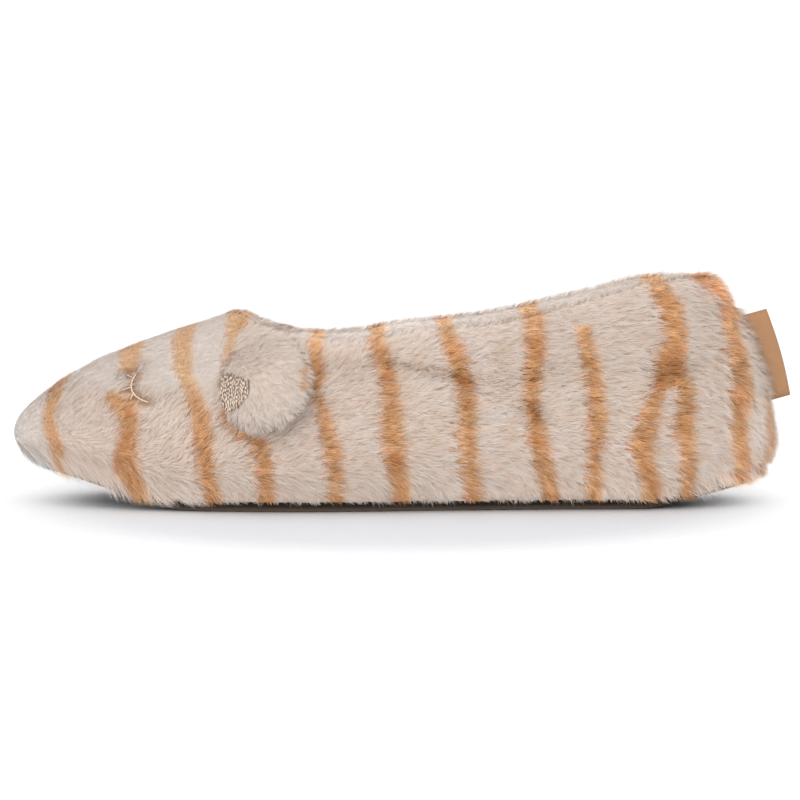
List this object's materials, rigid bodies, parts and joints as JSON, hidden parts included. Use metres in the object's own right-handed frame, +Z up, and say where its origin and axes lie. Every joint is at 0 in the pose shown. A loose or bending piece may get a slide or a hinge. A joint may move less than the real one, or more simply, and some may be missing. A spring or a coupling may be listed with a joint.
{
  "type": "ballerina slipper",
  "caption": "Low ballerina slipper in striped plush with animal ears, a soft sole with toe spring, a rolled collar and a folded ribbon tag at the heel.",
  "frame": {"origin": "on the floor under the middle of the sole", "axes": "-X towards the toe, +X towards the heel, -Y towards the shoe's outer side, +Z up from the floor"},
  "size_m": [0.2555, 0.1132, 0.0759],
  "materials": {
    "sole": "matt, felted underside",
    "sock": "matt fleece",
    "plush": "long soft pile, cream with ochre stripes",
    "ear_plush": "soft pile, cream",
    "ribbon": "flat woven satin ribbon, bare"
  },
  "bodies": {
    "root": {"outsole": "sole", "insole": "sock", "upper": "plush", "ear_outer_side": "ear_plush", "ear_inner_side": "ear_plush", "heel_tag": "ribbon"}
  },
  "joints": []
}
